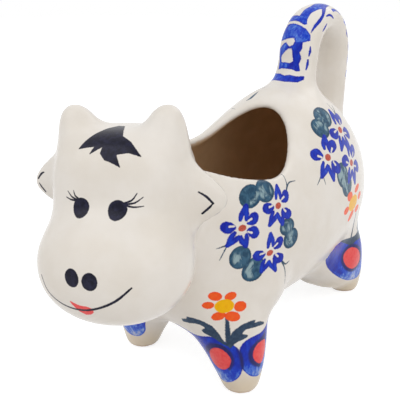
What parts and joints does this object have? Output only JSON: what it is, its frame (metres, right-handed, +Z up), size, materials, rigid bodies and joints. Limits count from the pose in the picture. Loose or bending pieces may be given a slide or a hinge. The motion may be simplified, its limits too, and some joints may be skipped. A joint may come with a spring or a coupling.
{
  "type": "cow creamer",
  "caption": "Small glazed ceramic cream jug in the shape of a standing cow, open at the back, with an arched tail as its handle.",
  "frame": {"origin": "on the table, at the middle of the plan box of the whole", "axes": "-Y forwards to the muzzle, +X to the cow's left, +Z up"},
  "size_m": [0.056, 0.1468, 0.106],
  "materials": {
    "glazed_body": "glossy"
  },
  "bodies": {
    "root": {"body_shell": "glazed_body", "head_shell": "glazed_body", "horn_left": "glazed_body", "horn_right": "glazed_body", "ear_left": "glazed_body", "ear_right": "glazed_body", "leg_front_left": "glazed_body", "leg_front_right": "glazed_body", "leg_rear_left": "glazed_body", "leg_rear_right": "glazed_body", "tail_handle": "glazed_body"}
  },
  "joints": []
}
